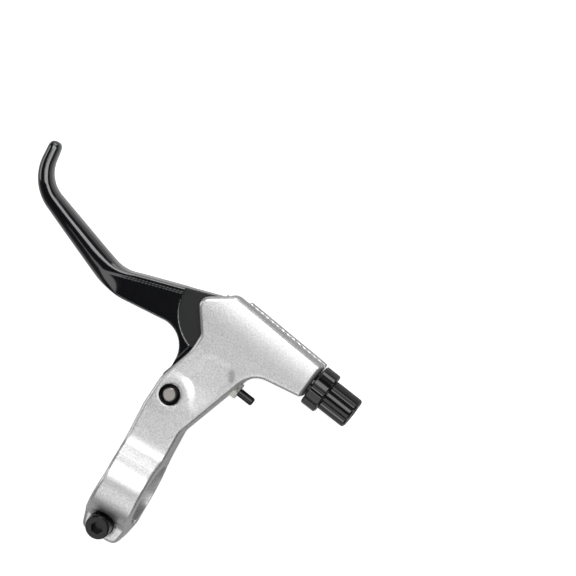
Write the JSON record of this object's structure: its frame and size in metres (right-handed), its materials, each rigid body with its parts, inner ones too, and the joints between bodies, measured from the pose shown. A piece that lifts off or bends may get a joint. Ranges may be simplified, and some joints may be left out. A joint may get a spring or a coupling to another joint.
{
  "type": "bicycle brake lever",
  "caption": "Left-hand flat-bar brake lever for linear-pull rim brakes: clamp bracket, hooked two-finger blade, reach screw and barrel adjuster.",
  "frame": {"origin": "centre of the handlebar clamp's bore", "axes": "+X along the handlebar towards the stem, +Y forwards, +Z out of the top face"},
  "size_m": [0.1358, 0.111, 0.0286],
  "materials": {
    "cast_silver": "satin silver, fine cast grain",
    "gloss_black": "gloss black lacquer",
    "black_resin": "gloss black resin",
    "black_steel": "black oxide",
    "pin_steel": "turned end face",
    "plated_steel": "zinc plated",
    "spring_steel": "drawn wire",
    "carrier_brass": "turned",
    "bush_bronze": "sintered bronze",
    "stem_black": "black anodised",
    "washer_nylon": "natural nylon"
  },
  "bodies": {
    "bracket": {"bracket_body": "cast_silver", "clamp_bolt": "black_steel", "clamp_washer": "black_steel", "pivot_pin": "pin_steel", "pivot_ring": "black_resin", "reach_nut": "plated_steel", "return_spring": "spring_steel"},
    "reach_stop": {"thrust_washer_upper": "washer_nylon", "thrust_washer_lower": "washer_nylon"},
    "blade": {"lever_blade": "gloss_black", "blade_bush": "bush_bronze"},
    "carrier": {"nipple_carrier": "carrier_brass"},
    "reach_screw": {"reach_screw": "black_steel"},
    "barrel_travel": {"ferrule_seat": "plated_steel"},
    "barrel": {"adjuster_stem": "stem_black", "adjuster_knob": "black_resin"},
    "lock_ring": {"lock_ring": "black_resin"}
  },
  "joints": [
    {"name": "reach_adjust", "type": "hinge", "parent": "bracket", "child": "reach_stop", "pos_m": [-0.0018, 0.0348, 0], "axis": [0, 0, 1], "range_deg": [0, 10]},
    {"name": "lever_pull", "type": "hinge", "parent": "reach_stop", "child": "blade", "pos_m": [-0.0018, 0.0348, 0], "axis": [0, 0, 1], "range_deg": [0, 30], "stiffness_Nm_per_rad": 0.05, "springref_deg": -34.38, "deforming": ["return_spring"]},
    {"name": "carrier_swivel", "type": "hinge", "parent": "blade", "child": "carrier", "pos_m": [0.002, 0.06667, 0], "axis": [0, 0, 1], "range_deg": [-40, 5]},
    {"name": "reach_screw_travel", "type": "slide", "parent": "bracket", "child": "reach_screw", "axis": [-0.989, 0.1478, 0], "range_m": [0, 0.00247]},
    {"name": "barrel_advance", "type": "slide", "parent": "bracket", "child": "barrel_travel", "axis": [0.989, -0.1478, 0], "range_m": [0, 0.00399]},
    {"name": "barrel_turn", "type": "hinge", "parent": "barrel_travel", "child": "barrel", "pos_m": [0.03825, 0.06125, 0], "axis": [0.989, -0.1478, 0], "range_deg": [0, 1440]},
    {"name": "lock_ring_turn", "type": "hinge", "parent": "bracket", "child": "lock_ring", "pos_m": [0.03825, 0.06125, 0], "axis": [0.989, -0.1478, 0], "range_deg": [0, 90]}
  ],
  "couplings": [
    {"joint": "reach_adjust", "follows": "reach_screw_travel", "rad_per_m": 70.513},
    {"joint": "barrel_turn", "follows": "barrel_advance", "rad_per_m": 6283.2}
  ]
}
